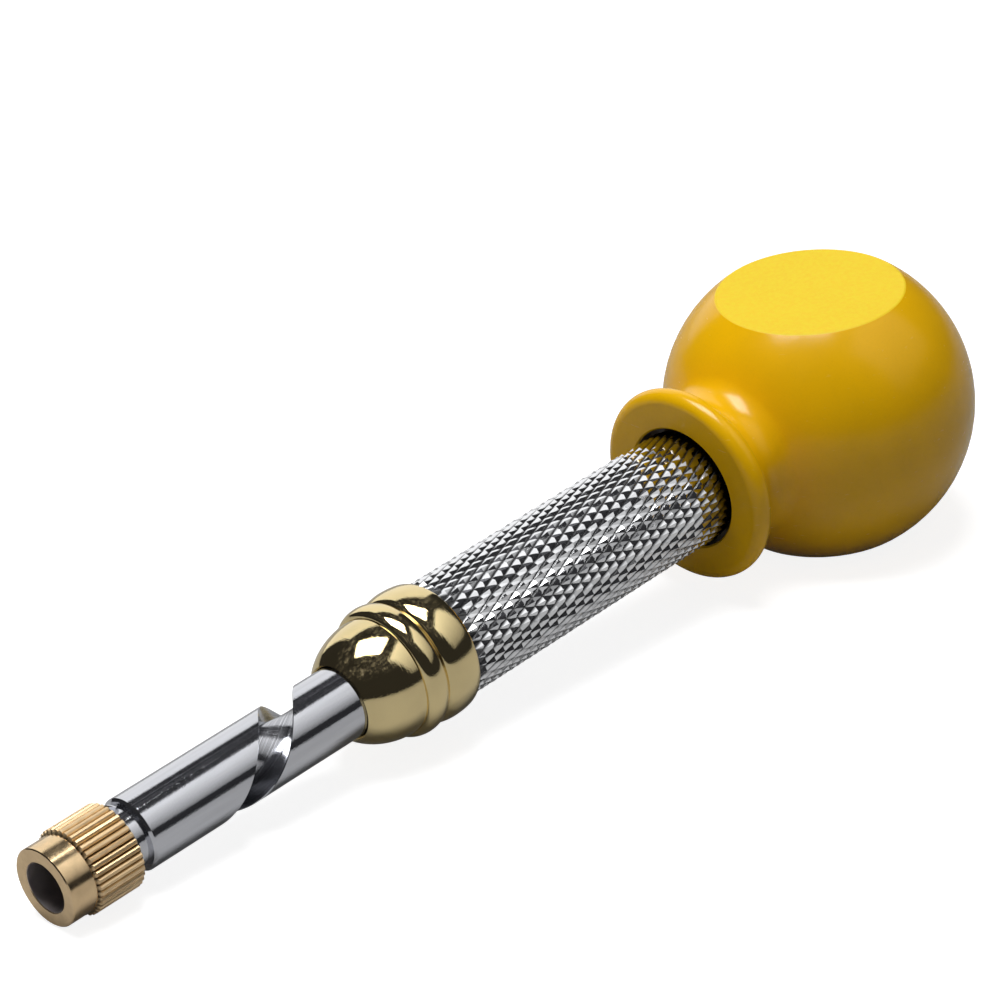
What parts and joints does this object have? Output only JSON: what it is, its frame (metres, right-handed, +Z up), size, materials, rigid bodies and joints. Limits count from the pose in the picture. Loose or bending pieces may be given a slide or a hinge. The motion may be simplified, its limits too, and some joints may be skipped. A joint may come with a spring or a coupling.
{
  "type": "leather hole punch",
  "caption": "Push-type rotary leather punch: a ball handle on a knurled barrel with a brass ferrule, a sprung spiral shaft that turns as it is pressed in, and a chuck nut for tips.",
  "frame": {"origin": "middle of the flat under the ball handle, which the tool lies on", "axes": "+X along the tool from the ball towards the nose, +Z up out of the ball's upper flat"},
  "size_m": [0.15, 0.04, 0.032],
  "materials": {
    "yellow_plastic": "satin moulded yellow",
    "knurled_chrome": "bright plated, diamond knurl",
    "polished_brass": "polished",
    "polished_chrome": "polished",
    "satin_brass": "satin, straight knurl",
    "hardened_steel": "ground",
    "spring_steel": "drawn wire",
    "turned_steel": "turned",
    "bearing_steel": "polished",
    "plug_steel": "turned",
    "zinc_plate": "zinc plated"
  },
  "bodies": {
    "handle": {"ball_handle": "yellow_plastic", "handle_screw": "zinc_plate", "barrel_plug": "plug_steel", "knurled_barrel": "knurled_chrome", "front_ferrule": "polished_brass", "drive_pin": "hardened_steel", "return_spring": "spring_steel"},
    "pusher": {"spring_cup": "turned_steel", "thrust_ball": "bearing_steel"},
    "shaft": {"spiral_shaft": "polished_chrome"},
    "nut": {"chuck_nut": "satin_brass"}
  },
  "joints": [
    {"name": "press", "type": "slide", "parent": "handle", "child": "pusher", "axis": [-1, 0, 0], "range_m": [0, 0.0339], "stiffness_N_per_m": 300, "springref_m": -0.015, "deforming": ["return_spring"]},
    {"name": "shaft_spin", "type": "hinge", "parent": "pusher", "child": "shaft", "pos_m": [0.05819, 0, 0.016], "axis": [1, 0, 0], "range_deg": [0, 489]},
    {"name": "nut_turn", "type": "hinge", "parent": "shaft", "child": "nut", "pos_m": [0.12001, 0, 0.016], "axis": [1, 0, 0], "range_deg": [0, 1620]}
  ],
  "couplings": [
    {"joint": "shaft_spin", "follows": "press", "rad_per_m": 251.33}
  ]
}
